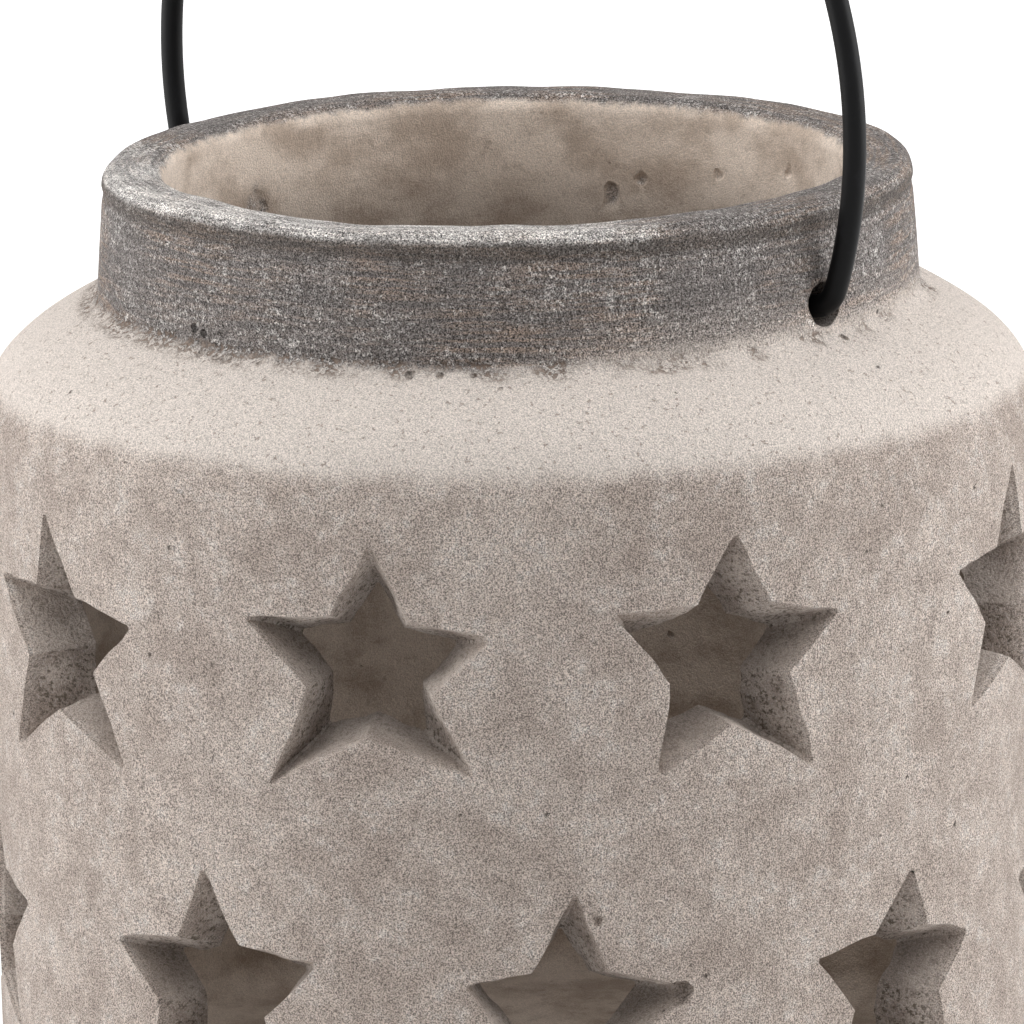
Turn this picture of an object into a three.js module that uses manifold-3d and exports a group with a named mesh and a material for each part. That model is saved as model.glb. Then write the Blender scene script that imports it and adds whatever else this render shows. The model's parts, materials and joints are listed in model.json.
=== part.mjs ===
// Candle lantern: a cast cement pot with two rows of star cut-outs, and a wire bail that swings in its neck
// Millimetres, +Z up. The origin is the middle of the underside, and the bail's hinge line runs along X.

import * as THREE from 'three';
import { mergeVertices } from 'three/addons/utils/BufferGeometryUtils.js';
import Module from 'manifold-3d';

// Pot
const POT_HEIGHT = 182;
const BODY_DIAMETER = 187;
const BODY_WALL = 11;
const BASE_THICKNESS = 12;
const BASE_EDGE_RADIUS = 4;
const FLOOR_FILLET = 6;

// Shoulder, from the neck's foot down to the upright wall
const SHOULDER_DROP = 26.5;
const SHOULDER_THICKNESS = 11;
const SHOULDER_SLOPE = THREE.MathUtils.degToRad(28);
const SHOULDER_REACH = 0.81;
const SHOULDER_ROUNDING = 0.54;

// Neck
const NECK_DIAMETER = 143;
const NECK_WALL = 11.5;
const NECK_HEIGHT = 23.5;
const NECK_FLARE = 1;
const NECK_FOOT_FILLET = 1.2;
const RIM_OUTER_RADIUS = 4;
const RIM_INNER_RADIUS = 3;

// Star cut-outs, which narrow towards the inside of the wall
const STARS_PER_ROW = 9;
const STAR_POINTS = 5;
const STAR_RADIUS = 22.3;
const STAR_NOTCH_RADIUS = 10.9;
const STAR_INNER_RADIUS = 14.7;
const STAR_OVERCUT = 6;
const UPPER_ROW_DROP = 71.4;
const STAR_ROW_PITCH = 60;
const UPPER_ROW_TURN = THREE.MathUtils.degToRad(15);
const LOWER_ROW_TURN = THREE.MathUtils.degToRad(-3);

// Bail and its holes
const WIRE_DIAMETER = 4;
const BAIL_BULGE = 7.9;
const BEND_INNER_RADIUS = 3;
const WIRE_NECK_GAP = 0.6;
const WIRE_END_INSET = 1.7;
const HOLE_DROP = 17;
const HOLE_PLAY = 4;
const HOLE_FLOOR_GAP = 0.8;

// Fineness of the round surfaces
const POT_SEGMENTS = 48;
const PROFILE_STEPS = 4;
const HOLE_SIDES = 16;
const WIRE_SIDES = 12;
const ARCH_STEPS = 40;
const BEND_STEPS = 6;

// Sizes that follow from the ones above
const BODY_RADIUS = BODY_DIAMETER / 2;
const BODY_INNER_RADIUS = BODY_RADIUS - BODY_WALL;
const NECK_RADIUS = NECK_DIAMETER / 2;
const NECK_INNER_RADIUS = NECK_RADIUS - NECK_WALL;
const NECK_FOOT_RADIUS = NECK_RADIUS + NECK_FLARE;
const NECK_FOOT_HEIGHT = POT_HEIGHT - NECK_HEIGHT;
const WALL_TOP_HEIGHT = NECK_FOOT_HEIGHT - SHOULDER_DROP;
const UPPER_ROW_HEIGHT = POT_HEIGHT - UPPER_ROW_DROP;
const LOWER_ROW_HEIGHT = UPPER_ROW_HEIGHT - STAR_ROW_PITCH;
const HOLE_HEIGHT = POT_HEIGHT - HOLE_DROP;
const HOLE_DIAMETER = WIRE_DIAMETER + HOLE_PLAY;
const HINGE_HEIGHT = HOLE_HEIGHT - HOLE_PLAY / 2 + HOLE_FLOOR_GAP;

const wasm = await Module();
wasm.setup();

// A closed geometry as a solid that can be cut
function solidOf(geometry) {
  const bare = geometry.clone();
  bare.deleteAttribute('normal');
  bare.deleteAttribute('uv');
  const merged = mergeVertices(bare);
  return new wasm.Manifold(new wasm.Mesh({
    numProp: 3,
    vertProperties: new Float32Array(merged.attributes.position.array),
    triVerts: new Uint32Array(merged.index.array),
  }));
}

function geometryOf(solid) {
  const { vertProperties, triVerts } = solid.getMesh();
  const geometry = new THREE.BufferGeometry();
  geometry.setAttribute('position', new THREE.BufferAttribute(vertProperties, 3));
  geometry.setIndex(new THREE.BufferAttribute(triVerts, 1));
  geometry.computeVertexNormals();
  return geometry;
}

// A shoulder's curve, upright where it leaves the wall's top and sloping in to the neck's foot
function addShoulder(path, wall, foot) {
  const reach = SHOULDER_REACH * (wall.x - foot.x);
  path.bezierCurveTo(
    wall.x, wall.y + SHOULDER_ROUNDING * (foot.y - wall.y),
    foot.x + reach, foot.y - reach * Math.tan(SHOULDER_SLOPE),
    foot.x, foot.y,
  );
}

// Half the pot's section, from the middle of the underside up the outside, over the rim and to the floor
function potSection() {
  const wallTop = new THREE.Vector2(BODY_RADIUS, WALL_TOP_HEIGHT);
  const neckFoot = new THREE.Vector2(NECK_FOOT_RADIUS + NECK_FOOT_FILLET, NECK_FOOT_HEIGHT);
  const innerWallTop = new THREE.Vector2(BODY_INNER_RADIUS, WALL_TOP_HEIGHT);
  const innerFoot = new THREE.Vector2(NECK_INNER_RADIUS, NECK_FOOT_HEIGHT - SHOULDER_THICKNESS);

  const baseEdge = new THREE.Vector2(BODY_RADIUS - BASE_EDGE_RADIUS, BASE_EDGE_RADIUS);
  const floorEdge = new THREE.Vector2(BODY_INNER_RADIUS - FLOOR_FILLET, BASE_THICKNESS + FLOOR_FILLET);
  const rimOuter = new THREE.Vector2(NECK_RADIUS - RIM_OUTER_RADIUS, POT_HEIGHT - RIM_OUTER_RADIUS);
  const rimInner = new THREE.Vector2(NECK_INNER_RADIUS + RIM_INNER_RADIUS, POT_HEIGHT - RIM_INNER_RADIUS);

  const outside = new THREE.Path();
  outside.moveTo(0, 0);
  outside.lineTo(baseEdge.x, 0);
  outside.absarc(baseEdge.x, baseEdge.y, BASE_EDGE_RADIUS, -Math.PI / 2, 0, false);
  outside.lineTo(wallTop.x, wallTop.y);
  addShoulder(outside, wallTop, neckFoot);
  outside.lineTo(NECK_FOOT_RADIUS, NECK_FOOT_HEIGHT + NECK_FOOT_FILLET);
  outside.lineTo(NECK_RADIUS, rimOuter.y);
  outside.absarc(rimOuter.x, rimOuter.y, RIM_OUTER_RADIUS, 0, Math.PI / 2, false);

  const inside = new THREE.Path();
  inside.moveTo(0, BASE_THICKNESS);
  inside.lineTo(floorEdge.x, BASE_THICKNESS);
  inside.absarc(floorEdge.x, floorEdge.y, FLOOR_FILLET, -Math.PI / 2, 0, false);
  inside.lineTo(innerWallTop.x, innerWallTop.y);
  addShoulder(inside, innerWallTop, innerFoot);
  inside.lineTo(NECK_INNER_RADIUS, rimInner.y);
  inside.absarc(rimInner.x, rimInner.y, RIM_INNER_RADIUS, Math.PI, Math.PI / 2, true);
  return [...outside.getPoints(PROFILE_STEPS), ...inside.getPoints(PROFILE_STEPS).reverse()];
}

// One star cutter, lying along +X: full size at the wall's outer face, smaller at the inner one
function starCutter() {
  const star = new THREE.Shape();
  for (let corner = 0; corner < 2 * STAR_POINTS; corner += 1) {
    const radius = corner % 2 === 0 ? STAR_RADIUS : STAR_NOTCH_RADIUS;
    const angle = Math.PI / 2 + (corner * Math.PI) / STAR_POINTS;
    const point = new THREE.Vector2(radius * Math.cos(angle), radius * Math.sin(angle));
    if (corner === 0) star.moveTo(point.x, point.y);
    else star.lineTo(point.x, point.y);
  }
  star.closePath();
  const depth = BODY_WALL + 2 * STAR_OVERCUT;
  const cutter = new THREE.ExtrudeGeometry(star, { depth, steps: 1, bevelEnabled: false });
  cutter.translate(0, 0, BODY_INNER_RADIUS - STAR_OVERCUT);
  const narrowing = (1 - STAR_INNER_RADIUS / STAR_RADIUS) / BODY_WALL;
  const corners = cutter.attributes.position;
  for (let index = 0; index < corners.count; index += 1) {
    const share = 1 + (corners.getZ(index) - BODY_RADIUS) * narrowing;
    corners.setX(index, corners.getX(index) * share);
    corners.setY(index, corners.getY(index) * share);
  }
  cutter.rotateX(Math.PI / 2);
  cutter.rotateZ(Math.PI / 2);
  return cutter;
}

function makePot() {
  const body = new THREE.LatheGeometry(potSection(), POT_SEGMENTS);
  body.rotateX(Math.PI / 2);
  let pot = solidOf(body);

  const rows = [
    { height: UPPER_ROW_HEIGHT, turn: UPPER_ROW_TURN },
    { height: LOWER_ROW_HEIGHT, turn: LOWER_ROW_TURN },
  ];
  for (const row of rows) {
    for (let place = 0; place < STARS_PER_ROW; place += 1) {
      const cutter = starCutter();
      cutter.rotateZ(row.turn + (place * 2 * Math.PI) / STARS_PER_ROW);
      cutter.translate(0, 0, row.height);
      pot = pot.subtract(solidOf(cutter));
    }
  }

  const drill = new THREE.CylinderGeometry(HOLE_DIAMETER / 2, HOLE_DIAMETER / 2, BODY_DIAMETER, HOLE_SIDES);
  drill.rotateZ(Math.PI / 2);
  drill.translate(0, 0, HOLE_HEIGHT);
  pot = pot.subtract(solidOf(drill));

  const cement = new THREE.MeshStandardMaterial({ color: 0xc4b8ac, roughness: 0.95, metalness: 0 });
  const mesh = new THREE.Mesh(geometryOf(pot), cement);
  mesh.name = 'cement_pot';
  return mesh;
}

// A path of several runs, each with its own number of even steps
class SteppedPath extends THREE.Curve {
  constructor(runs) {
    super();
    this.runs = runs;
    this.steps = runs.reduce((sum, run) => sum + run.steps, 0);
  }

  getPoint(t, target = new THREE.Vector3()) {
    let place = t * this.steps;
    let index = 0;
    while (index < this.runs.length - 1 && place > this.runs[index].steps) {
      place -= this.runs[index].steps;
      index += 1;
    }
    const run = this.runs[index];
    const point = run.curve.getPoint(place / run.steps);
    return target.set(point.x, 0, point.y);
  }

  getPointAt(u, target) {
    return this.getPoint(u, target);
  }

  getTangentAt(u, target) {
    return this.getTangent(u, target);
  }
}

// The wire lies in the XZ plane about the hinge line: end, bend, arch, bend, end
function makeBail() {
  const wireRadius = WIRE_DIAMETER / 2;
  const archRadius = NECK_RADIUS + BAIL_BULGE;
  const bendRadius = BEND_INNER_RADIUS + wireRadius;
  const clearRadius = NECK_FOOT_RADIUS + WIRE_NECK_GAP;
  const bendX = clearRadius / (1 + BEND_INNER_RADIUS / (archRadius - bendRadius));
  const archHeight = bendRadius + Math.sqrt((archRadius - bendRadius) ** 2 - bendX ** 2);
  const meet = Math.atan2(bendRadius - archHeight, bendX);
  const endX = NECK_INNER_RADIUS + WIRE_END_INSET;

  const line = (from, to) => new THREE.LineCurve(new THREE.Vector2(from, 0), new THREE.Vector2(to, 0));
  const arc = (x, y, radius, from, to) => new THREE.EllipseCurve(x, y, radius, radius, from, to, false);
  const path = new SteppedPath([
    { curve: line(endX, bendX), steps: 1 },
    { curve: arc(bendX, bendRadius, bendRadius, -Math.PI / 2, meet), steps: BEND_STEPS },
    { curve: arc(0, archHeight, archRadius, meet, Math.PI - meet), steps: ARCH_STEPS },
    { curve: arc(-bendX, bendRadius, bendRadius, Math.PI - meet, (3 * Math.PI) / 2), steps: BEND_STEPS },
    { curve: line(-bendX, -endX), steps: 1 },
  ]);

  const round = new THREE.Shape();
  for (let side = 0; side < WIRE_SIDES; side += 1) {
    const angle = (side * 2 * Math.PI) / WIRE_SIDES;
    const point = new THREE.Vector2(wireRadius * Math.cos(angle), wireRadius * Math.sin(angle));
    if (side === 0) round.moveTo(point.x, point.y);
    else round.lineTo(point.x, point.y);
  }
  round.closePath();
  const along = { steps: path.steps, extrudePath: path, bevelEnabled: false };
  const wire = new THREE.ExtrudeGeometry(round, along);
  const blackPaint = new THREE.MeshStandardMaterial({ color: 0x1c1d1f, roughness: 0.5, metalness: 0.3 });
  const mesh = new THREE.Mesh(wire, blackPaint);
  mesh.name = 'wire_bail';
  mesh.position.set(0, 0, HINGE_HEIGHT);
  return mesh;
}

const lantern = new THREE.Group();
lantern.add(makePot(), makeBail());

export default lantern;
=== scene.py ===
"""Candle lantern: a cement pot with two rows of hand-cut stars, and a wire bail that swings in its neck."""

import json
import math
import random
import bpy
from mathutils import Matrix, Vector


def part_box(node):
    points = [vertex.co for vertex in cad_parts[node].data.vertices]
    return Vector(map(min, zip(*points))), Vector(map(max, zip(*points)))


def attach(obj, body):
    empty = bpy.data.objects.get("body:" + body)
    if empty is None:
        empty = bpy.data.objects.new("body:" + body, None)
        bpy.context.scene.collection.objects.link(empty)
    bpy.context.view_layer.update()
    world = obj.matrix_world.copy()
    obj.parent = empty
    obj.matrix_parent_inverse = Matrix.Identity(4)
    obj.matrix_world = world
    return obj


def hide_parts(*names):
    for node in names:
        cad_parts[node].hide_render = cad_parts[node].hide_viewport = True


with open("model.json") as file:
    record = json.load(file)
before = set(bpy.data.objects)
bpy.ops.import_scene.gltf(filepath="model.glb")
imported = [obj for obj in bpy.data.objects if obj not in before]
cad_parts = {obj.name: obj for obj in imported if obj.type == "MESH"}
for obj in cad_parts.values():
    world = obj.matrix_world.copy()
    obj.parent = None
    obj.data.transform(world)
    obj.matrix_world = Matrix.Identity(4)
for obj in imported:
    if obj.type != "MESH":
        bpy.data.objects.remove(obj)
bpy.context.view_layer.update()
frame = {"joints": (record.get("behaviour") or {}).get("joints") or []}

from types import SimpleNamespace
from typing import NamedTuple

import bmesh
import bpy
from bpy.props import FloatProperty, FloatVectorProperty, PointerProperty
from bpy.types import Operator, Panel, PropertyGroup
from mathutils import Matrix, Vector, noise
from mathutils.geometry import interpolate_bezier

bl_info = {
    "name": "Star Lantern",
    "version": (1, 0, 0),
    "blender": (4, 5, 0),
    "location": "View3D > Sidebar > Lantern",
    "description": "Models a cement candle pot with cut stars, its wire bail and a plain studio",
    "category": "Add Mesh",
}

MM = 0.001
_, POT_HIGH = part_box("cement_pot")
BAIL_LOW, BAIL_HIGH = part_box("wire_bail")
HINGE = Vector(frame["joints"][0]["pos_m"])

# Corners closer than this, in metres, are one
WELD = 1e-6
# Edges with a sharper bend than this stay sharp in the pot's smooth shading
SHARP_ANGLE = math.radians(38)

STAR_POINTS = 5
STARS_PER_ROW = 9


class Star(NamedTuple):
    """How one star is cut. Its points go clockwise from the top, as seen from outside."""

    turn: float  # off the even row, in degrees
    lift: float  # off the row's height, in millimetres
    tilt: float  # anticlockwise, in degrees
    slant: tuple  # how far the cut's inner end sits to the right and up, in millimetres
    leans: tuple  # how far each point leans clockwise, in degrees
    reaches: tuple  # from the star's middle to each point, in millimetres


# Stars that are given one by one, by their place in the row
UPPER_STARS = {
    0: Star(3.5, 0, -3, (-2, -1), (0, 0, -3, 3, 0), (22, 22, 22.5, 22.5, 20.5)),
    6: Star(-1.5, -3.5, 2, (2, 0), (-5, 2, -8, 5, 3), (22, 21.5, 26, 27, 23.5)),
    7: Star(1, 0.5, -1.5, (-1.5, -1), (0, 0, -10, 4, 0), (21, 21, 24, 27, 22.5)),
    8: Star(-0.5, 1, -1.5, (-1.5, -2), (0, 2, -3, -3, 5), (21, 20, 24.5, 22, 21)),
}
LOWER_STARS = {
    0: Star(-0.5, -1.5, -3.5, (-3, -1), (5, 0, -4, 4, 0), (18.5, 19, 21, 21, 19)),
    4: Star(2.5, -2, 1.5, (0.5, -1), (0, 0, -4, 4, 0), (20.5, 22, 22.5, 22, 21.5)),
    6: Star(-6.5, 0, 0, (0, -1), (0, 0, -5, 5, 0), (21.5, 21.5, 23, 23, 21.5)),
    7: Star(-0.5, 1.5, 1.5, (-0.5, -1.5), (0, 0, -5, 5, 0), (20.5, 21.5, 23.5, 24, 21)),
    8: Star(-0.5, -0.5, -2.5, (-1, -0.5), (0, 4, -4, 4, 0), (22, 21.5, 23, 23, 18)),
}
# How the points of the other stars lean: their legs stand a little apart
EVEN_LEANS = (0, 0, -4, 4, 0)

# Balls that cut blow holes, chips and dents: plan angle in degrees, and distance from the axis, height and
# radius in millimetres
BALLS = (
    # Pits in the front of the wall
    (-40.5, 93.2, 68, 1.0),
    (-31.5, 92.6, 54, 2.3),
    (4, 93.5, 112, 0.6),
    (-49.5, 93.6, 113.5, 0.5),
    (-82, 93.6, 110, 0.5),
    # Pits along the neck's foot
    (-97, 72.3, 162, 0.8),
    (-95, 72.3, 161.5, 0.7),
    (2, 74, 158.5, 0.9),
    (-94.5, 74.2, 158.5, 0.8),
    (-91.5, 74.2, 158.5, 0.6),
    (-89.5, 74.2, 158.5, 0.9),
    (-84, 74.2, 158.5, 0.6),
    (-62, 74.2, 158.5, 1.0),
    (-58, 74.2, 158.5, 0.8),
    (-53.5, 74.2, 158.5, 0.7),
    (-50, 77.2, 157, 0.6),
    # A pit in the wall's inner face, and pits in the back of the wall
    (110.5, 82.3, 76.5, 0.9),
    (60, 93.3, 75, 0.9),
    (118, 93.3, 92, 0.7),
    (171, 93.3, 80, 0.9),
    (-138, 93.3, 84, 0.8),
    # Dents inside the neck
    (113, 57, 163.5, 3.9),
    (107.5, 58.4, 167, 2.0),
    (91.5, 58.8, 169.5, 1.8),
    (74, 58.9, 172.5, 1.7),
    (125.5, 58.9, 178, 1.5),
    (179, 58, 166, 2.9),
)

# Layers of noise that make the casting uneven: height and size of each layer in millimetres
SKIN_WAVES = ((0.35, 42), (0.12, 12))
CUT_WAVES = ((0.25, 4.5), (0.2, 1.9))
CRUMBLE_WAVES = ((0.25, 1.8), (0.35, 5))
CHIP_WAVES = ((0.5, 3.0), (0.4, 1.4))
RIM_WAVES = ((0.55, 26), (0.25, 9))


def ball_middle(plan, reach, height):
    """Where a ball sits, in millimetres."""
    turn = math.radians(plan)
    return Vector((reach * math.cos(turn), reach * math.sin(turn), height))


def tone(red, green, blue):
    """A colour given as 0 to 255 on a screen, as the linear values that shaders use."""
    shares = (red / 255, green / 255, blue / 255)
    return tuple(c / 12.92 if c <= 0.04045 else ((c + 0.055) / 1.055) ** 2.4 for c in shares)


def length(name, description, default):
    """A size in metres."""
    return FloatProperty(name=name, description=description, default=default, unit="LENGTH", precision=5)


def angle(name, description, degrees):
    """An angle, shown in degrees."""
    return FloatProperty(name=name, description=description, default=math.radians(degrees), subtype="ANGLE")


def colour(name, description, red, green, blue):
    """A colour swatch."""
    return FloatVectorProperty(
        name=name, description=description, default=tone(red, green, blue),
        subtype="COLOR", min=0, max=1, size=3,
    )


def number(name, description, default):
    """A plain number."""
    return FloatProperty(name=name, description=description, default=default)


class PotSettings(PropertyGroup):
    """Sizes and colours of the cement pot."""

    height: length("Height", "From the underside to the rim", POT_HIGH.z)
    body_radius: length("Body radius", "Outside of the upright wall", POT_HIGH.x)
    taper: length("Taper", "How much narrower the wall is at the base", 1.2 * MM)
    wall: length("Wall", "Thickness of the upright wall", 11 * MM)
    base: length("Base", "Thickness of the floor", 12 * MM)
    neck_radius: length("Neck radius", "Outside of the neck under the rim", 71.5 * MM)
    neck_wall: length("Neck wall", "Thickness of the neck", 11.5 * MM)
    neck_height: length("Neck height", "From the neck's foot to the rim", 23.5 * MM)
    shoulder_drop: length("Shoulder drop", "From the neck's foot to the upright wall", 26.5 * MM)
    star_radius: length("Star radius", "From a star's middle to its points, at the outer face", 22 * MM)
    star_notch: length("Star notch", "From a star's middle to its notches, at the outer face", 11.6 * MM)
    inner_radius: length("Inner radius", "From a star's middle to its points, at the inner face", 14 * MM)
    inner_notch: length("Inner notch", "From a star's middle to its notches, at the inner face", 8.4 * MM)
    star_point: length("Star point", "How much farther all the points are cut than listed", 0.9 * MM)
    star_blunt: length("Star bluntness", "Half the width of a star's blunt points", 0.4 * MM)
    star_wobble: length("Star wobble", "How far a star's hand-cut edges stray", 0.7 * MM)
    upper_drop: length("Upper row", "From the rim to the middle of the upper stars", 71.4 * MM)
    row_pitch: length("Row pitch", "From the upper row down to the lower one", 60 * MM)
    upper_turn: angle("Upper turn", "Where the upper row starts, from +X", 15)
    lower_turn: angle("Lower turn", "Where the lower row starts, from +X", -3)
    hole_drop: length("Hole drop", "From the rim to the middle of the bail's holes", 17.5 * MM)
    hole_radius: length("Hole radius", "Radius of the bail's holes at the outside", 3.9 * MM)
    hole_end: length("Hole end", "Radius of the bail's holes at their inner end", 3.75 * MM)
    plug: length("Plug", "Mortar that closes the inner end of the bail's holes", 1.2 * MM)
    grain: length("Grain", "Size of the mesh that carries the casting's unevenness", 1.65 * MM)
    cream: colour("Cream", "Dusty upper side of the shoulder", 212, 202, 194)
    sand: colour("Sand", "Light patches of the wall", 193, 181, 172)
    clay: colour("Clay", "Dark patches of the wall", 163, 150, 141)
    grit: colour("Grit", "Dark grains in the cut faces", 96, 87, 76)
    # Also painted shade: in pits and blow holes, in the crease under the rim and inside the bail's holes;
    # in the wash it is dark flecks.
    soot_and_shade: colour("Soot", "Pits and blow holes", 62, 54, 48)
    wash: colour("Wash", "Dark wash on the neck", 112, 107, 105)
    chalk: colour("Chalk", "Chalky flecks", 196, 192, 188)
    pale: colour("Pale", "Worn wash on the rim", 220, 216, 212)
    rust: colour("Rust", "Brown patches in the wash", 124, 106, 93)
    raw: colour("Raw", "Bare cement inside", 212, 198, 185)
    stain: colour("Stain", "Dark clouds inside", 176, 160, 146)


class BailSettings(PropertyGroup):
    """Sizes and colours of the wire bail."""

    wire: length("Wire", "Diameter of the wire", BAIL_HIGH.y - BAIL_LOW.y)
    arch_radius: length("Arch radius", "Middle of the wire in the arch", 79.4 * MM)
    bend_radius: length("Bend radius", "Middle of the wire in each bend", 5 * MM)
    bend_reach: length("Bend reach", "From the pot's axis to the middle of each bend", 70.25 * MM)
    offset: length("Offset", "How far the loose bail sits off the pot's axis, along its hinge", -0.7 * MM)
    end_reach: length("End reach", "From the pot's axis to each end of the wire", 62.8 * MM)
    black: colour("Black", "Paint of the wire", 12, 12, 13)
    worn: colour("Worn", "Paint where it is rubbed", 22, 22, 24)


class StageSettings(PropertyGroup):
    """Camera, lamps and floor."""

    turn: angle("Camera turn", "Round the pot, from -Y towards +X", 41.2)
    rise: angle("Camera rise", "Above the point that the camera circles", 13.11)
    pitch: angle("Camera pitch", "How far the view dips below level", 12.81)
    roll: angle("Camera roll", "Tilt of the picture", -0.86)
    distance: length("Camera distance", "From the point that the camera circles", 1.665)
    centre: length("Camera centre", "Height of the point that the camera circles", 0.109)
    lens: number("Lens", "Focal length in millimetres", 329.9)
    sensor: number("Sensor", "Width of the camera's sensor in millimetres", 36)
    view_end: length("View end", "How far the camera sees", 20)
    side_watts: number("Side lamps", "Power of each side lamp in watts", 16.5)
    side_reach: length("Side lamp reach", "From the pot's axis to each side lamp", 1.3)
    side_height: length("Side lamp height", "From the floor to each side lamp", 0.32)
    side_size: length("Side lamp size", "Width of each side lamp", 1.1)
    top_watts: number("Top lamp", "Power of the top lamp in watts", 21.5)
    top_reach: length("Top lamp reach", "From the pot's axis forward to the top lamp", 0.3)
    top_height: length("Top lamp height", "From the floor to the top lamp", 1.5)
    top_size: length("Top lamp size", "Width of the top lamp", 2)
    ambient: number("Ambient", "Light of the surroundings", 0.12)
    floor_reach: length("Floor reach", "From the middle of the floor to its sides", 6)
    floor_glow: number("Floor glow", "How much paler the floor is seen near the pot", 0.45)
    glow_start: length("Glow start", "From the middle to where the floor starts to fade to white", 0.3)
    glow_end: length("Glow end", "From the middle to where the floor is seen white", 1.5)
    floor: colour("Floor", "Pale floor", 235, 235, 235)


class Flow:
    """One output of a shader node, so that sums and products of outputs read as plain expressions."""

    def __init__(self, tree, socket=None):
        self.tree = tree
        self.socket = socket

    def node(self, kind, sockets, output=0, **settings):
        """Adds a node with these settings and socket values, and gives one of its outputs."""
        made = self.tree.nodes.new(kind)
        for name, value in settings.items():
            setattr(made, name, value)
        for name, value in sockets.items():
            if isinstance(value, Flow):
                self.tree.links.new(value.socket, made.inputs[name])
            elif hasattr(value, "__len__") and made.inputs[name].type == "RGBA":
                made.inputs[name].default_value = (*value[:3], 1.0)
            else:
                made.inputs[name].default_value = value
        return Flow(self.tree, made.outputs[output])

    def maths(self, operation, first, second):
        """A Math node on two values."""
        return self.node("ShaderNodeMath", {0: first, 1: second}, operation=operation)

    def __add__(self, other):
        return self.maths("ADD", self, other)

    def __sub__(self, other):
        return self.maths("SUBTRACT", self, other)

    def __rsub__(self, other):
        return self.maths("SUBTRACT", other, self)

    def __mul__(self, other):
        return self.maths("MULTIPLY", self, other)

    def __pow__(self, other):
        return self.maths("POWER", self, other)

    def most(self, other):
        """The larger of two values."""
        return self.maths("MAXIMUM", self, other)

    def rise(self, low, high):
        """A smooth step from 0 at low to 1 at high, or down where low is the larger."""
        sockets = {"Value": self, "From Min": low, "From Max": high}
        return self.node("ShaderNodeMapRange", sockets, interpolation_type="SMOOTHSTEP")

    def parts(self):
        """The three numbers of a vector."""
        first = self.node("ShaderNodeSeparateXYZ", {"Vector": self})
        return [Flow(self.tree, output) for output in first.socket.node.outputs]

    def shaded(self, strength):
        """This colour, lighter or darker by a factor."""
        return self.node("ShaderNodeVectorMath", {0: self, "Scale": strength}, operation="SCALE")

    def times(self, vector):
        """A vector, stretched along its axes."""
        return self.node("ShaderNodeVectorMath", {0: self, 1: vector}, operation="MULTIPLY")

    def cloud(self, size, detail=2.0, roughness=0.5):
        """Soft noise from 0 to 1 on this vector, with features of about this size."""
        sockets = {"Vector": self, "Scale": 1 / size, "Detail": detail, "Roughness": roughness}
        return self.node("ShaderNodeTexNoise", sockets)

    def between(self, first, second):
        """A colour between two others, with this value as the share of the second."""
        sockets = {0: self, 6: first, 7: second}
        return self.node("ShaderNodeMix", sockets, output=2, data_type="RGBA", clamp_factor=True)


def new_material(name):
    """An empty material, with its starting flow and its surface shader."""
    material = bpy.data.materials.new(name)
    material.use_nodes = True
    tree = material.node_tree
    tree.nodes.clear()
    end = tree.nodes.new("ShaderNodeOutputMaterial")
    shader = tree.nodes.new("ShaderNodeBsdfPrincipled")
    tree.links.new(shader.outputs["BSDF"], end.inputs["Surface"])
    return material, Flow(tree), shader


def link(flow, shader, name):
    """Feeds a flow into one of the shader's sockets."""
    flow.tree.links.new(flow.socket, shader.inputs[name])


def places(start):
    """Places on the object, in millimetres."""
    return start.node("ShaderNodeTexCoord", {}, output="Object").times((1 / MM,) * 3)


def bumped(height, strength, distance):
    """The surface's direction where a skin has these heights."""
    sockets = {"Height": height, "Strength": strength, "Distance": distance}
    return height.node("ShaderNodeBump", sockets, output="Normal")


def cement_fields(start, pot):
    """What the cement's finishes share: places in millimetres, directions, and noise of several sizes."""
    at = SimpleNamespace()
    at.spot = places(start)
    at.x, at.y, at.z = at.spot.parts()
    at.radius = (at.x * at.x + at.y * at.y) ** 0.5
    facing_x, facing_y, at.upward = start.node("ShaderNodeNewGeometry", {}, output="Normal").parts()
    at.outward = (facing_x * at.x + facing_y * at.y) * at.radius ** -1.0
    at.rim = pot.height / MM
    at.foot = at.rim - pot.neck_height / MM
    at.neck = pot.neck_radius / MM
    at.mouth = at.neck - pot.neck_wall / MM
    at.outer = pot.body_radius / MM
    at.inner = at.outer - pot.wall / MM
    at.hole_radius = pot.hole_radius / MM
    at.wall_top = at.foot - pot.shoulder_drop / MM
    taper = pot.taper / MM
    at.depth = at.z * (taper / at.wall_top) + (at.outer - taper) - at.radius
    at.below_shoulder = at.z.rise(at.wall_top + 8, at.wall_top + 4)
    at.patches = at.spot.cloud(size=30, detail=3)
    at.mottle = at.spot.cloud(size=8, detail=4, roughness=0.6)
    at.lumps = at.spot.cloud(size=2.2, detail=3)
    at.specks = at.spot.cloud(size=1.1, detail=2, roughness=0.65)
    at.fine = at.spot.cloud(size=0.5, detail=2, roughness=0.7)
    at.grain = at.spot.cloud(size=0.26, detail=1, roughness=0.6)
    at.salt = at.grain.rise(0.25, 0.75)
    at.hole = (at.y * at.y + (at.z - (at.rim - pot.hole_drop / MM)) ** 2) ** 0.5
    return at


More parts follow.
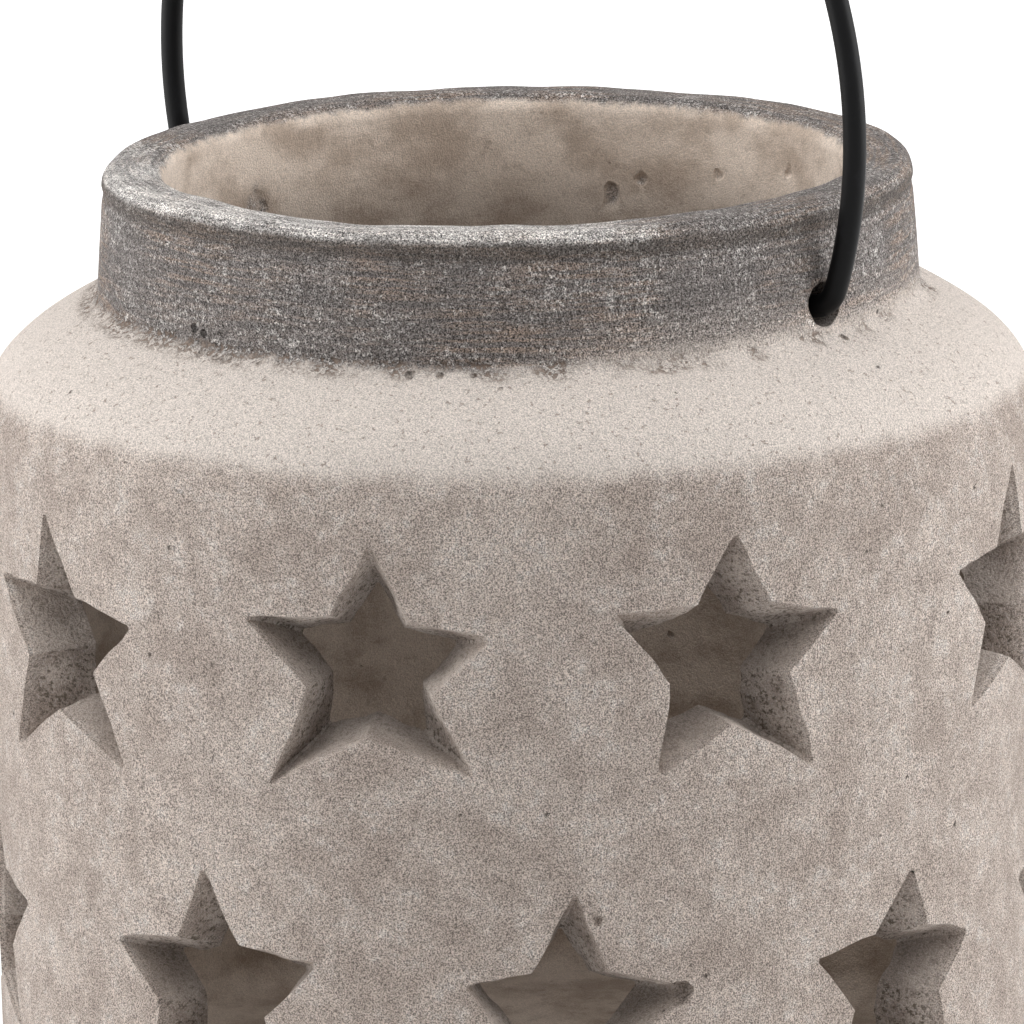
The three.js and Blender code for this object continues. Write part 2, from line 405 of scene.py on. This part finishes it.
def skin_finish(at, pot):
    """Sandy wall with chalky specks, under a dusty cream shoulder with brown ones."""
    sandy = (at.mottle * 0.5 + at.patches * 0.3 + at.lumps * 0.2).rise(0.34, 0.66)
    wall = sandy.between(pot.clay, pot.sand)
    bloom = (at.lumps * 0.6 + at.fine * 0.4).rise(0.5, 0.62) * at.mottle.rise(0.44, 0.6)
    wall = (bloom * 0.45).between(wall, pot.chalk)
    dust_start = at.wall_top + 12.2
    dust_end = at.wall_top + 16.2
    dusty = (at.z + at.mottle * 3 + at.specks * 1.2).rise(dust_start, dust_end)
    skin = dusty.between(wall, pot.cream)
    skin = (dusty * at.specks.rise(0.6, 0.7) * 0.6).between(skin, pot.rust)
    grains = (at.salt - 0.5) * (1.3 - dusty * 0.6)
    spots = (at.fine - 0.5) * (0.2 - dusty * 0.05)
    return skin.shaded(grains + spots + 1)


def cut_finish(at, pot, under):
    """Cut faces of the stars: gritty, with painted shade deeper in, lighter where they face up, plain at
    the edge.
    """
    cut = at.mottle.rise(0.4, 0.6).between(pot.clay, pot.sand)
    gritty = (at.specks * 0.5 + at.fine * 0.5).rise(0.51, 0.38)
    cut = (gritty * 0.85).between(cut, pot.grit)
    cut = (at.fine.rise(0.56, 0.68) * 0.4).between(cut, pot.chalk)
    # The faces that point up are made lighter.
    cut = (at.upward.rise(0.2, 0.8) * 0.5).between(cut, pot.sand)
    # Painted shade: the cut faces darken deeper into the wall.
    painted_depth_shade = 1 - at.depth.rise(2, 9) * 0.26
    cut = cut.shaded((at.salt * 0.5 + 0.75) * painted_depth_shade)
    edge = at.depth.rise(3.5, 1.0)
    cut = (edge * 0.55).between(cut, under)
    deep = (at.depth + at.fine * 0.4).rise(0.7, 1.1) * at.below_shoulder
    return deep.between(under, cut)


def inside_finish(at, pot, under):
    """Bare cement inside, with smeared light and dark clouds, and painted light and shade: lighter up the
    neck, darker below it.
    """
    smear = at.spot.times((1.0, 1.0, 1.4)).cloud(size=14, detail=4, roughness=0.6)
    bare = smear.rise(0.34, 0.62).between(pot.stain, pot.raw)
    bare = (at.lumps.rise(0.4, 0.28) * 0.25).between(bare, pot.rust)
    # Painted light and shade: the neck's inside lighter towards the rim, the body's inside darker, a little
    # less near the floor.
    high = at.z.rise(at.foot + 1, at.rim - 8)
    low = at.z.rise(80, 20)
    painted_light_and_shade = high * 0.5 + low * 0.12 + 0.77
    bare = bare.shaded((at.salt * 0.4 + 0.8) * painted_light_and_shade)
    inward = at.outward.rise(-0.3, -0.6).most(at.radius.rise(at.inner - 0.6, at.inner - 1.6))
    hollow = inward * at.z.rise(at.foot - 9, at.foot - 14)
    throat = (at.radius + at.lumps * 1.6).rise(at.mouth + 2.6, at.mouth + 1.2)
    throat = throat * at.z.rise(at.foot - 16, at.foot - 11)
    return hollow.most(throat).between(under, bare)


def neck_finish(at, pot, under):
    """Brushed dark wash on the neck, thin round the bail's holes and worn pale on top, with painted shade
    under the rim and in the holes.
    """
    drawn_out = at.spot.times((0.07, 0.07, 1.0))
    brushed = {"Vector": drawn_out, "W": at.radius, "Scale": 1.25, "Detail": 3, "Roughness": 0.65}
    strokes = at.spot.node("ShaderNodeTexNoise", brushed, noise_dimensions="4D")
    coat = (strokes.rise(0.44, 0.6) * at.patches.rise(0.38, 0.58) * 0.75).between(pot.wash, pot.rust)
    spots = at.fine * 0.6 + at.specks * 0.4
    coat = (spots.rise(0.5, 0.34) * 0.7).between(coat, pot.soot_and_shade)
    coat = ((spots + at.mottle * 0.3).rise(0.65, 0.84) * 0.75).between(coat, pot.chalk)
    thin = (at.x * at.x * (1 / at.neck**2)).rise(0.3, 0.95)
    coat = (thin * at.z.rise(at.rim - 12, at.foot + 1) * 0.4).between(coat, pot.sand)
    flecks = at.lumps.rise(0.62, 0.7) * at.mottle.rise(0.5, 0.6)
    coat = (flecks * 0.5).between(coat, pot.chalk)
    front = (at.y * (-1 / at.neck)).rise(-0.15, 0.7)
    frost = (front + strokes * 0.4 + at.mottle * 0.6 + spots * 0.9).rise(1.62, 2.18)
    worn = at.upward.rise(0.2, 0.65) * at.z.rise(at.rim - 8, at.rim - 5) * frost
    coat = (worn * 0.85).between(coat, pot.pale)
    # Painted shade in the crease under the rim's lip.
    level = at.z + at.mottle * 2
    rim_crease_shade = level.rise(at.rim - 4.5, at.rim - 3) * level.rise(at.rim - 0.2, at.rim - 1.4)
    coat = (rim_crease_shade * 0.6).between(coat, pot.soot_and_shade)
    grains = at.salt * 2 + at.fine * 0.5 - 0.25
    coat = coat.shaded((strokes.rise(0.3, 0.7) * 0.5 + 0.75) * grains)
    edge = at.z + at.specks * 3 + at.mottle * 2.4
    washed = edge.rise(at.foot + 2.2, thin * 3 + (at.foot + 4.4))
    washed = washed * (at.radius + at.lumps * 1.8).rise(at.mouth + 1.2, at.mouth + 2.4)
    look = (washed * 0.95).between(under, coat)
    # Painted shade: the inside of each bail hole is darkened.
    rubbed = at.hole.rise(at.hole_radius + 0.6, at.hole_radius - 0.4)
    rubbed = rubbed * at.radius.rise(at.mouth + 2, at.mouth + 5)
    return (rubbed * 0.9).between(look, pot.soot_and_shade)


def pit_mask(start, at):
    """Small blow holes, thinned out by each cell's own colour, and the pits that are cut outside."""
    cell_size = 5.5
    warped = start.node("ShaderNodeVectorMath", {0: at.spot, 1: at.grain}, operation="ADD")
    cells = {"Vector": warped, "Scale": 1 / cell_size}
    reached = start.node("ShaderNodeTexVoronoi", cells, output="Distance")
    kept = start.node("ShaderNodeTexVoronoi", cells, output="Color").parts()[0]
    pits = reached.rise(0.09, 0.04) * kept.rise(0.8, 0.86)
    for plan, reach, height, radius in BALLS:
        if reach > at.neck:
            ends = {0: at.spot, 1: ball_middle(plan, reach, height)}
            away = start.node("ShaderNodeVectorMath", ends, output="Value", operation="DISTANCE")
            sunk = (at.depth - (at.outer - reach)).rise(-0.5, 0.6).most(at.z.rise(at.foot - 4, at.foot))
            pits = pits.most((away + at.fine * 0.8).rise(radius + 0.5, radius) * sunk)
    return pits


def crumb_mask(at):
    """Crumbled pits along the neck's foot."""
    level = at.z + at.lumps
    foot_line = level.rise(at.foot - 1.2, at.foot + 0.2) * level.rise(at.foot + 2.8, at.foot + 1.4)
    broken = (at.mottle - at.x * (0.1 / at.neck)).rise(0.36, 0.54)
    crumbs = (at.specks * 0.7 + at.fine * 0.3).rise(0.53, 0.43) * foot_line * broken
    return crumbs * at.radius.rise(at.mouth + 3, at.mouth + 5)


def cement_material(pot):
    """Sandy cement, with a finish for each part of the casting."""
    material, start, shader = new_material("cement")
    at = cement_fields(start, pot)
    look = skin_finish(at, pot)
    look = cut_finish(at, pot, look)
    look = inside_finish(at, pot, look)
    look = neck_finish(at, pot, look)
    pits = pit_mask(start, at)
    # Painted shade: pits and blow holes are darkened, standing in for the shade inside them.
    look = (pits * 0.8).between(look, pot.soot_and_shade)
    crumbs = crumb_mask(at)
    look = (crumbs * 0.85).between(look, pot.rust)
    cut_face = at.depth.rise(0.6, 1.2) * at.below_shoulder
    grit = (at.specks + at.fine) * (cut_face * 0.6 + 0.25)
    height = at.grain * 0.5 + at.lumps * 0.4 + grit - pits.most(crumbs) * 1.5
    link(look, shader, "Base Color")
    link(at.grain * 0.15 + 0.82, shader, "Roughness")
    link(bumped(height, 0.8, 0.4 * MM), shader, "Normal")
    shader.inputs["Specular IOR Level"].default_value = 0.2
    return material


def wire_material(bail):
    """Satin black paint, a little rubbed and uneven."""
    material, start, shader = new_material("black_wire")
    spot = places(start)
    scuffs = spot.cloud(size=3.5, detail=4, roughness=0.6)
    pores = spot.cloud(size=0.4, detail=2)
    paint = scuffs.rise(0.55, 0.75).between(bail.black, bail.worn)
    link(paint, shader, "Base Color")
    link(scuffs * 0.2 + 0.36, shader, "Roughness")
    link(bumped(pores, 0.25, 0.1 * MM), shader, "Normal")
    shader.inputs["Specular IOR Level"].default_value = 0.12
    return material


def arc(centre, radius, first, last, steps):
    """Points of an arc in a section, with its angles in degrees."""
    angles = [math.radians(first + (last - first) * step / steps) for step in range(steps + 1)]
    return [(centre[0] + radius * math.cos(turn), centre[1] + radius * math.sin(turn)) for turn in angles]


def bezier(*knots, steps=28):
    """Points of a curve in a section, from its two ends and their handles."""
    return [(point.x, point.y) for point in interpolate_bezier(*(Vector(knot) for knot in knots), steps)]


def shoulder(wall, foot):
    """Points of a shoulder: upright where it leaves the wall's top, sloping in to the neck's foot."""
    rounding = 0.54
    straightness = 0.81
    slope = math.tan(math.radians(28))
    reach = straightness * (wall[0] - foot[0])
    first = (wall[0], wall[1] + rounding * (foot[1] - wall[1]))
    second = (foot[0] + reach, foot[1] - reach * slope)
    return bezier(wall, first, second, foot)


def pot_outline(pot):
    """Half the pot's section, from the middle of the underside up, over the rim and down to the floor."""
    foot_height = pot.height - pot.neck_height
    wall_top = foot_height - pot.shoulder_drop
    inner = pot.body_radius - pot.wall
    mouth = pot.neck_radius - pot.neck_wall
    base_radius = pot.body_radius - pot.taper
    base_edge = 4 * MM
    floor_edge = 6 * MM
    foot_flare = 2.2 * MM
    step_out = 1 * MM
    step_up = 1.2 * MM
    rim_outer = 3 * MM
    rim_inner = 3.5 * MM
    crease_depth = 0.35 * MM
    crease_drop = 4.4 * MM
    crease_width = 2 * MM
    edge_steps = 5
    rim_steps = 8

    outside = [(0, 0)]
    outside += arc((base_radius - base_edge, base_edge), base_edge, -90, 0, edge_steps)
    outside += shoulder((pot.body_radius, wall_top), (pot.neck_radius + foot_flare, foot_height))
    outside += [(pot.neck_radius + step_out, foot_height + step_up)]
    outside += [(pot.neck_radius, pot.height - crease_drop - crease_width)]
    outside += [(pot.neck_radius - crease_depth, pot.height - crease_drop)]
    outside += arc((pot.neck_radius - rim_outer, pot.height - rim_outer), rim_outer, 0, 90, rim_steps)
    inside = arc((inner - floor_edge, pot.base + floor_edge), floor_edge, -90, 0, edge_steps)
    inside += shoulder((inner, wall_top), (mouth, foot_height - pot.wall))
    inside += arc((mouth + rim_inner, pot.height - rim_inner), rim_inner, 180, 90, rim_steps)
    return outside + inside[::-1] + [(0, pot.base)]


def finish_mesh(bm, name):
    """Turns a bmesh into a mesh with its faces pointing out."""
    bmesh.ops.remove_doubles(bm, verts=bm.verts, dist=WELD)
    bmesh.ops.recalc_face_normals(bm, faces=bm.faces)
    mesh = bpy.data.meshes.new(name)
    bm.to_mesh(mesh)
    bm.free()
    return mesh


def new_object(name, data):
    """An object at the origin, in the scene."""
    piece = bpy.data.objects.new(name, data)
    bpy.context.scene.collection.objects.link(piece)
    return piece


def divided(first, second, pieces):
    """Evenly spaced points from the first of two, without the second."""
    return [first.lerp(second, piece / pieces) for piece in range(pieces)]


def spun_pot(pot):
    """The pot before it is cut: its section, divided finely, spun a quarter turn and mirrored twice."""
    # Level stretches and the inside carry a coarser mesh
    level_step = 8 * pot.grain
    inside_step = 2 * pot.grain
    outline = [Vector((radius, 0, height)) for radius, height in pot_outline(pot)]
    bm = bmesh.new()
    corners = []
    for first, second in zip(outline, outline[1:]):
        level = abs(first.z - second.z) < pot.grain
        inside = second.z < first.z
        step = level_step if level else inside_step if inside else pot.grain
        pieces = math.ceil((second - first).length / step)
        corners += [bm.verts.new(corner) for corner in divided(first, second, pieces)]
    corners.append(bm.verts.new(outline[-1]))
    for pair in zip(corners, corners[1:]):
        bm.edges.new(pair)
    quarter = math.tau / 4
    bmesh.ops.spin(
        bm, geom=bm.verts[:] + bm.edges[:], cent=(0, 0, 0), axis=(0, 0, 1), angle=quarter,
        steps=round(quarter * pot.body_radius / pot.grain),
    )
    for axis in ("X", "Y"):
        geometry = bm.verts[:] + bm.edges[:] + bm.faces[:]
        bmesh.ops.mirror(bm, geom=geometry, matrix=Matrix(), merge_dist=WELD, axis=axis)
    return finish_mesh(bm, "spun_pot")


def star_ring(pot, star, outside):
    """The corners of a star on one face of the wall, clockwise from its top, as seen from outside."""
    radius = pot.body_radius if outside else pot.body_radius - pot.wall
    notch = pot.star_notch if outside else pot.inner_notch
    shift = (0, 0) if outside else [part * MM for part in star.slant]
    corners = []
    for place in range(STAR_POINTS):
        around = math.tau * place / STAR_POINTS
        between = around + math.pi / STAR_POINTS
        reach = star.reaches[place] * MM + pot.star_point if outside else pot.inner_radius
        point = around + math.radians(star.leans[place] if outside else 0)
        blunt = pot.star_blunt / reach
        for turn, far in ((point - blunt, reach), (point + blunt, reach), (between, notch)):
            across = shift[0] + far * math.sin(turn)
            lift = shift[1] + far * math.cos(turn)
            corners.append(Vector((across, lift, math.sqrt(radius**2 - across**2))))
    return corners


def stray(spot):
    """A smoothly changing direction for a place, the same in every run."""
    offsets = (Vector((0, 0, 0)), Vector((31, 17, 5)), Vector((7, 43, 29)))
    return Vector([noise.noise(spot + offset) for offset in offsets])


def star_cutter(pot, star, place):
    """One star cutter: it runs straight from the small inner star to the large outer one, and past both."""
    past = 0.4
    layers = 10
    side_pieces = 7
    wobble_size = 6 * MM
    bm = bmesh.new()
    small = star_ring(pot, star, False)
    large = star_ring(pot, star, True)
    loops = []
    for layer in range(layers + 1):
        share = (1 + 2 * past) * layer / layers - past
        corners = [place @ inner.lerp(outer, share) for inner, outer in zip(small, large)]
        ring = []
        for first, second in zip(corners, corners[1:] + corners[:1]):
            for corner in divided(first, second, side_pieces):
                ring.append(bm.verts.new(corner + pot.star_wobble * stray(corner / wobble_size)))
        loops.append([bm.edges.new(pair) for pair in zip(ring, ring[1:] + ring[:1])])
    for first, second in zip(loops, loops[1:]):
        bmesh.ops.bridge_loops(bm, edges=first + second)
    bmesh.ops.holes_fill(bm, edges=loops[0] + loops[-1])
    return finish_mesh(bm, "star_cutter")


def cutters(pot):
    """Every star cutter, and a tapered drill for each of the bail's two holes."""
    turn_spread, lift_spread, tilt_spread = 1.5, 1, 3
    reach_spread, slant_spread = 1, 1
    drill_past = 6 * MM
    drill_sides = 24
    seed = 7
    bm = bmesh.new()
    chance = random.Random(seed)
    upright = Matrix(((0, 0, 1), (1, 0, 0), (0, 1, 0))).to_4x4()
    upper = pot.height - pot.upper_drop
    rows = ((UPPER_STARS, upper, pot.upper_turn), (LOWER_STARS, upper - pot.row_pitch, pot.lower_turn))
    for placed, height, start in rows:
        for place in range(STARS_PER_ROW):
            reaches = [
                pot.star_radius / MM + chance.uniform(-reach_spread, reach_spread)
                for _ in range(STAR_POINTS)
            ]
            slant = [chance.uniform(-slant_spread, slant_spread) for _ in range(2)]
            turn, lift, tilt = (
                chance.uniform(-spread, spread) for spread in (turn_spread, lift_spread, tilt_spread)
            )
            star = placed.get(place, Star(turn, lift, tilt, slant, EVEN_LEANS, reaches))
            around = start + math.tau * place / STARS_PER_ROW + math.radians(star.turn)
            stand = Matrix.Translation((0, 0, height + star.lift * MM)) @ Matrix.Rotation(around, 4, "Z")
            tilted = stand @ upright @ Matrix.Rotation(math.radians(star.tilt), 4, "Z")
            cutter = star_cutter(pot, star, tilted)
            bm.from_mesh(cutter)
            bpy.data.meshes.remove(cutter)
    drill_length = pot.neck_wall + drill_past
    drill_middle = pot.neck_radius - pot.neck_wall + pot.plug + drill_length / 2
    for side in (1, -1):
        middle = Vector((side * drill_middle, 0, pot.height - pot.hole_drop))
        along = Matrix.Translation(middle) @ Matrix.Rotation(side * math.pi / 2, 4, "Y")
        bmesh.ops.create_cone(
            bm, cap_ends=True, segments=drill_sides, radius1=pot.hole_end, radius2=pot.hole_radius,
            depth=drill_length, matrix=along,
        )
    return finish_mesh(bm, "cutters")


def balls():
    """The uneven balls that cut blow holes, chips and dents."""
    unevenness = 0.5
    bm = bmesh.new()
    for plan, reach, height, radius in BALLS:
        middle = ball_middle(plan, reach, height) * MM
        size = radius * MM
        stand = Matrix.Translation(middle)
        made = bmesh.ops.create_icosphere(bm, subdivisions=3, radius=size, matrix=stand)
        for corner in made["verts"]:
            corner.co += unevenness * (corner.co - middle) * noise.noise(corner.co / size)
    return finish_mesh(bm, "balls")


def applied(piece):
    """Bakes an object's modifiers into its mesh."""
    graph = bpy.context.evaluated_depsgraph_get()
    mesh = bpy.data.meshes.new_from_object(piece.evaluated_get(graph))
    piece.modifiers.clear()
    old = piece.data
    piece.data = mesh
    bpy.data.meshes.remove(old)


def smooth_step(low, high, value):
    """0 at low, 1 at high, smooth between them."""
    share = min(max((value - low) / (high - low), 0), 1)
    return share * share * (3 - 2 * share)


def waves(spot, layers):
    """Noise in millimetres, added up from layers that each have a height and a size."""
    return sum(height * noise.noise(spot / size) for height, size in layers)


def skin_push(spot, pot):
    """How far the skin stands out at a place, in millimetres: waves, gritty cuts and crumbled edges."""
    foot = (pot.height - pot.neck_height) / MM
    wall_top = foot - pot.shoulder_drop / MM
    taper = pot.taper / MM
    radius = math.hypot(spot.x, spot.y)
    push = waves(spot, SKIN_WAVES)

    cut_start, cut_end = 0.7, 1.6
    cut_top = wall_top + 6
    depth = pot.body_radius / MM - taper * (1 - spot.z / wall_top) - radius
    if spot.z < cut_top and depth > cut_start:
        push += smooth_step(cut_start, cut_end, depth) * waves(spot, CUT_WAVES)

    crumble_rise, crumble_width = 0.4, 1.5
    crumble_inside = pot.neck_radius / MM - 3.5
    crumble_least = 0.02
    crumble = math.exp(-(((spot.z - foot - crumble_rise) / crumble_width) ** 2))
    if radius > crumble_inside and crumble > crumble_least:
        push += crumble * waves(spot, CRUMBLE_WAVES)

    chip_start = pot.hole_radius / MM
    chip_end = chip_start + 4
    chip_inside = (pot.neck_radius - pot.neck_wall) / MM - 10
    chip_skin = 0.55
    from_hole = math.hypot(spot.y, spot.z - (pot.height - pot.hole_drop) / MM)
    if from_hole < chip_end and abs(spot.x) > chip_inside:
        chipped = 1 - smooth_step(chip_start, chip_end, from_hole)
        push += chipped * min(0, waves(spot, CHIP_WAVES) - chip_skin)
    return push


def roughen(mesh, pot):
    """Makes the casting uneven: its skin along the surface's direction, and its wavy rim up and down."""
    sliver = 1e-5
    rim = pot.height / MM
    wave_start, wave_end = rim - 16, rim - 2
    bm = bmesh.new()
    bm.from_mesh(mesh)
    bmesh.ops.dissolve_degenerate(bm, dist=sliver, edges=bm.edges)
    bm.normal_update()
    shifts = []
    for corner in bm.verts:
        spot = corner.co / MM
        shift = corner.normal * skin_push(spot, pot)
        level = Vector((spot.x, spot.y, 0))
        shift.z += smooth_step(wave_start, wave_end, spot.z) * waves(level, RIM_WAVES)
        shifts.append(shift * MM)
    for corner, shift in zip(bm.verts, shifts):
        corner.co += shift
        corner.co.z = max(corner.co.z, 0)
    for face in bm.faces:
        face.smooth = True
    bm.to_mesh(mesh)
    bm.free()


class LANTERN_OT_pot(Operator):
    """Model the cement pot with its stars, holes and uneven surface"""

    bl_idname = "lantern.pot"
    bl_label = "Cement pot"

    def execute(self, context):
        pot = context.scene.lantern_pot
        piece = new_object("cast_pot", spun_pot(pot))
        tools = (new_object("cutters", cutters(pot)), new_object("balls", balls()))
        for tool in tools:
            cut = piece.modifiers.new("Cut", "BOOLEAN")
            cut.object = tool
            cut.operation = "DIFFERENCE"
            cut.solver = "MANIFOLD"
        applied(piece)
        for tool in tools:
            bpy.data.objects.remove(tool)
        roughen(piece.data, pot)
        piece.data.set_sharp_from_angle(angle=SHARP_ANGLE)
        piece.data.materials.clear()
        piece.data.materials.append(cement_material(pot))
        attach(piece, "pot")
        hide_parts("cement_pot")
        return {"FINISHED"}


def drawn(bm, faces, step):
    """Extends the wire straight on from its end face, and gives the new end face."""
    made = bmesh.ops.extrude_face_region(bm, geom=faces)["geom"]
    corners = [part for part in made if isinstance(part, bmesh.types.BMVert)]
    bmesh.ops.translate(bm, verts=corners, vec=step)
    bmesh.ops.delete(bm, geom=faces, context="FACES_ONLY")
    return [part for part in made if isinstance(part, bmesh.types.BMFace)]


def swept(bm, faces, centre, turn, steps):
    """Carries the wire round an arc in the XZ plane, and gives the new end face."""
    made = bmesh.ops.spin(bm, geom=faces, cent=centre, axis=(0, -1, 0), angle=turn, steps=steps)
    bmesh.ops.delete(bm, geom=faces, context="FACES_ONLY")
    return [part for part in made["geom_last"] if isinstance(part, bmesh.types.BMFace)]


class LANTERN_OT_bail(Operator):
    """Bend the wire bail: an end, a bend, the arch, a bend and an end"""

    bl_idname = "lantern.bail"
    bl_label = "Wire bail"

    def execute(self, context):
        bail = context.scene.lantern_bail
        wire_sides = 20
        bend_steps = 10
        arch_steps = 120
        arch_height = bail.bend_radius + math.sqrt(
            (bail.arch_radius - bail.bend_radius) ** 2 - bail.bend_reach**2
        )
        meet = math.atan2(bail.bend_radius - arch_height, bail.bend_reach)
        base = HINGE + Vector((bail.offset, 0, 0))
        end = Matrix.Translation(base + Vector((bail.end_reach, 0, 0)))
        across = end @ Matrix.Rotation(math.pi / 2, 4, "Y")
        right = base + Vector((bail.bend_reach, 0, bail.bend_radius))
        left = base + Vector((-bail.bend_reach, 0, bail.bend_radius))
        middle = base + Vector((0, 0, arch_height))
        bm = bmesh.new()
        bmesh.ops.create_circle(
            bm, cap_ends=True, segments=wire_sides, radius=bail.wire / 2, matrix=across
        )
        straight = Vector((bail.bend_reach - bail.end_reach, 0, 0))
        tip = drawn(bm, bm.faces[:], straight)
        tip = swept(bm, tip, right, meet + math.pi / 2, bend_steps)
        tip = swept(bm, tip, middle, math.pi - 2 * meet, arch_steps)
        tip = swept(bm, tip, left, meet + math.pi / 2, bend_steps)
        drawn(bm, tip, straight)
        piece = new_object("bent_bail", finish_mesh(bm, "bent_bail"))
        for face in piece.data.polygons:
            face.use_smooth = True
        piece.data.materials.append(wire_material(bail))
        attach(piece, "bail")
        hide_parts("wire_bail")
        return {"FINISHED"}


def seen(start):
    """1 where the camera, a mirror or glass looks, and 0 for the light that falls on the object."""
    rays = ("Is Camera Ray", "Is Glossy Ray", "Is Transmission Ray")
    camera, glossy, through = (start.node("ShaderNodeLightPath", {}, output=ray) for ray in rays)
    return camera.most(glossy).most(through)


def pale_world(stage):
    """White surroundings that light the object softly."""
    world = bpy.data.worlds.new("pale_studio")
    bpy.context.scene.world = world
    world.use_nodes = True
    start = Flow(world.node_tree)
    backdrop = seen(start).between((stage.ambient,) * 3, (1, 1, 1))
    start.tree.links.new(backdrop.socket, world.node_tree.nodes["Background"].inputs["Color"])


def floor_material(stage):
    """Pale floor that keeps the object's shadow and is near white where it is seen."""
    material, start, shader = new_material("pale_floor")
    shader.inputs["Base Color"].default_value = (*stage.floor, 1)
    shader.inputs["Roughness"].default_value = 0.9
    shader.inputs["Specular IOR Level"].default_value = 0.0
    shader.inputs["Emission Strength"].default_value = 1.0
    spot = start.node("ShaderNodeTexCoord", {}, output="Object")
    away = start.node("ShaderNodeVectorMath", {0: spot}, output="Value", operation="LENGTH")
    fade = away.rise(stage.glow_start, stage.glow_end)
    glow = fade.between((stage.floor_glow,) * 3, (1, 1, 1))
    link(seen(start).between((0, 0, 0), glow), shader, "Emission Color")
    return material


def soft_lamp(name, place, aim, size, watts):
    """A square soft box."""
    lamp = bpy.data.lights.new(name, "AREA")
    lamp.shape = "SQUARE"
    lamp.size = size
    lamp.energy = watts
    holder = new_object(name, lamp)
    holder.location = place
    holder.rotation_euler = (Vector(aim) - Vector(place)).to_track_quat("-Z", "Y").to_euler()


class LANTERN_OT_stage(Operator):
    """Set up the floor, the lamps, the surroundings and the camera"""

    bl_idname = "lantern.stage"
    bl_label = "Plain studio"

    def execute(self, context):
        stage = context.scene.lantern_stage
        bm = bmesh.new()
        bmesh.ops.create_grid(bm, x_segments=1, y_segments=1, size=stage.floor_reach)
        floor = new_object("floor", finish_mesh(bm, "floor"))
        floor.data.materials.append(floor_material(stage))
        pale_world(stage)

        front = Vector((math.sin(stage.turn), -math.cos(stage.turn), 0))
        side = Vector((math.cos(stage.turn), math.sin(stage.turn), 0))
        aim = Vector((0, 0, stage.centre))
        left = Vector((0, 0, stage.side_height)) - stage.side_reach * side
        right = Vector((0, 0, stage.side_height)) + stage.side_reach * side
        top = Vector((0, 0, stage.top_height)) + stage.top_reach * front
        soft_lamp("left_lamp", left, aim, stage.side_size, stage.side_watts)
        soft_lamp("right_lamp", right, aim, stage.side_size, stage.side_watts)
        soft_lamp("top_lamp", top, aim, stage.top_size, stage.top_watts)

        lens = bpy.data.cameras.new("camera")
        lens.sensor_width = stage.sensor
        lens.lens = stage.lens
        lens.clip_end = stage.view_end
        camera = new_object("camera", lens)
        ahead = -front * math.cos(stage.pitch) - Vector((0, 0, math.sin(stage.pitch)))
        above = side.cross(ahead)
        across = side * math.cos(stage.roll) + above * math.sin(stage.roll)
        above = above * math.cos(stage.roll) - side * math.sin(stage.roll)
        camera.matrix_world = Matrix((across, above, -ahead)).transposed().to_4x4()
        camera.location = aim + stage.distance * (
            front * math.cos(stage.rise) + Vector((0, 0, math.sin(stage.rise)))
        )
        context.scene.camera = camera
        context.scene.view_settings.view_transform = "Standard"
        return {"FINISHED"}


class LANTERN_PT_panel(Panel):
    """Buttons and sizes of the lantern"""

    bl_idname = "LANTERN_PT_panel"
    bl_label = "Star Lantern"
    bl_space_type = "VIEW_3D"
    bl_region_type = "UI"
    bl_category = "Lantern"

    def draw(self, context):
        for operator, settings in (
            (LANTERN_OT_pot, context.scene.lantern_pot),
            (LANTERN_OT_bail, context.scene.lantern_bail),
            (LANTERN_OT_stage, context.scene.lantern_stage),
        ):
            box = self.layout.box()
            box.operator(operator.bl_idname)
            for name in settings.__annotations__:
                box.prop(settings, name)


CLASSES = (
    PotSettings,
    BailSettings,
    StageSettings,
    LANTERN_OT_pot,
    LANTERN_OT_bail,
    LANTERN_OT_stage,
    LANTERN_PT_panel,
)


def register():
    """Adds the classes and their settings."""
    for member in CLASSES:
        bpy.utils.register_class(member)
    bpy.types.Scene.lantern_pot = PointerProperty(type=PotSettings)
    bpy.types.Scene.lantern_bail = PointerProperty(type=BailSettings)
    bpy.types.Scene.lantern_stage = PointerProperty(type=StageSettings)


def unregister():
    """Takes the classes and their settings out again."""
    del bpy.types.Scene.lantern_stage
    del bpy.types.Scene.lantern_bail
    del bpy.types.Scene.lantern_pot
    for member in reversed(CLASSES):
        bpy.utils.unregister_class(member)


def main():
    """Builds the lantern and its studio."""
    register()
    bpy.ops.lantern.pot()
    bpy.ops.lantern.bail()
    bpy.ops.lantern.stage()


if __name__ == "__main__":
    main()
